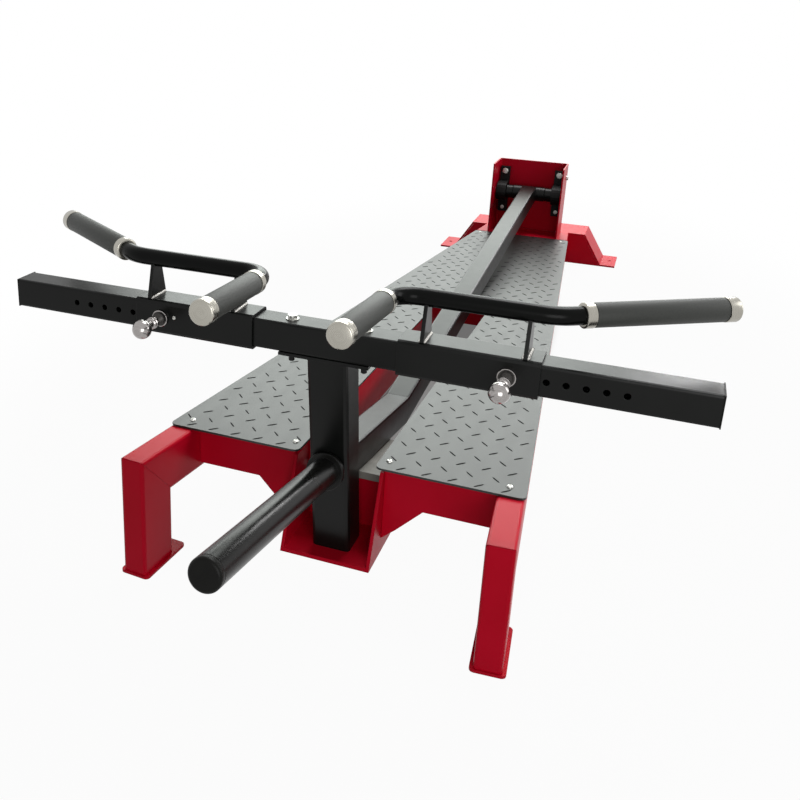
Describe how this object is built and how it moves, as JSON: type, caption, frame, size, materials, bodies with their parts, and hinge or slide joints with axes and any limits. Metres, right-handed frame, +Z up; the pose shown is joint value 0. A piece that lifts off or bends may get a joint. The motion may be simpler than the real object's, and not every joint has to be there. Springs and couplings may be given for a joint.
{
  "type": "prone row machine",
  "caption": "Low sloping twin-deck frame with a long hinged lever, a front weight horn, and a cross bar whose paired grips slide out and lock on spring pins.",
  "frame": {"origin": "bottom centre of the bounding box, on the floor", "axes": "+X to the right and +Y towards the rear hinge, seen from the weight horn's end; +Z up"},
  "size_m": [1.193, 2.897, 0.6007],
  "materials": {
    "red_paint": "glossy powder coat",
    "black_paint": "satin powder coat",
    "tread_plate": "satin, raised tread bars",
    "rest_pad": "matte",
    "grip_rubber": "matte, fine knurl",
    "grip_metal": "turned",
    "polished_steel": "polished",
    "zinc_steel": "zinc plated",
    "bearing_iron": "painted",
    "bright_steel": "ground",
    "black_plastic": "moulded"
  },
  "bodies": {
    "frame": {"left_deck_plate": "tread_plate", "left_side_rail": "red_paint", "left_front_leg": "red_paint", "left_foot_pad": "red_paint", "left_inner_rail": "red_paint", "left_crossbeam": "red_paint", "left_bearing_block": "bearing_iron", "right_deck_plate": "tread_plate", "right_side_rail": "red_paint", "right_front_leg": "red_paint", "right_foot_pad": "red_paint", "right_inner_rail": "red_paint", "right_crossbeam": "red_paint", "right_bearing_block": "bearing_iron", "cradle": "red_paint", "neck_rest": "rest_pad", "rear_foot": "red_paint", "rear_foot_web": "red_paint", "tower": "red_paint", "tower_base": "red_paint", "slot_beam": "red_paint"},
    "lever": {"pivot_shaft": "bright_steel", "left_bearing_ring": "bright_steel", "right_bearing_ring": "bright_steel", "lever_hub": "black_paint", "lever_beam": "black_paint", "lever_neck": "black_paint", "post": "black_paint", "seat_plate": "black_paint", "left_seat_bolt": "zinc_steel", "right_seat_bolt": "zinc_steel", "cross_bar": "black_paint", "left_bar_plug": "black_plastic", "right_bar_plug": "black_plastic", "weight_horn": "black_paint", "horn_end_cap": "black_plastic"},
    "left_carriage": {"left_carriage_sleeve": "black_paint", "left_handle_bar": "black_paint", "left_inner_gusset": "black_paint", "left_outer_gusset": "black_paint", "left_inner_grip": "grip_rubber", "left_outer_grip": "grip_rubber", "left_inner_grip_collar": "grip_metal", "left_outer_grip_collar": "grip_metal", "left_inner_grip_cap": "grip_metal", "left_outer_grip_cap": "grip_metal", "left_pin_barrel": "zinc_steel"},
    "left_plunger": {"left_pop_pin": "polished_steel"},
    "right_carriage": {"right_carriage_sleeve": "black_paint", "right_handle_bar": "black_paint", "right_inner_gusset": "black_paint", "right_outer_gusset": "black_paint", "right_inner_grip": "grip_rubber", "right_outer_grip": "grip_rubber", "right_inner_grip_collar": "grip_metal", "right_outer_grip_collar": "grip_metal", "right_inner_grip_cap": "grip_metal", "right_outer_grip_cap": "grip_metal", "right_pin_barrel": "zinc_steel"},
    "right_plunger": {"right_pop_pin": "polished_steel"}
  },
  "joints": [
    {"name": "lever_pivot", "type": "hinge", "parent": "frame", "child": "lever", "pos_m": [0, 1.2256, 0.27], "axis": [-1, 0, 0], "range_deg": [0, 25]},
    {"name": "left_carriage_slide", "type": "slide", "parent": "lever", "child": "left_carriage", "axis": [-1, 0, 0], "range_m": [-0.028, 0.168]},
    {"name": "left_pin_pull", "type": "slide", "parent": "left_carriage", "child": "left_plunger", "axis": [0, -1, 0], "range_m": [0, 0.01], "stiffness_N_per_m": 600, "springref_m": -0.004},
    {"name": "right_carriage_slide", "type": "slide", "parent": "lever", "child": "right_carriage", "axis": [1, 0, 0], "range_m": [-0.028, 0.168]},
    {"name": "right_pin_pull", "type": "slide", "parent": "right_carriage", "child": "right_plunger", "axis": [0, -1, 0], "range_m": [0, 0.01], "stiffness_N_per_m": 600, "springref_m": -0.004}
  ]
}
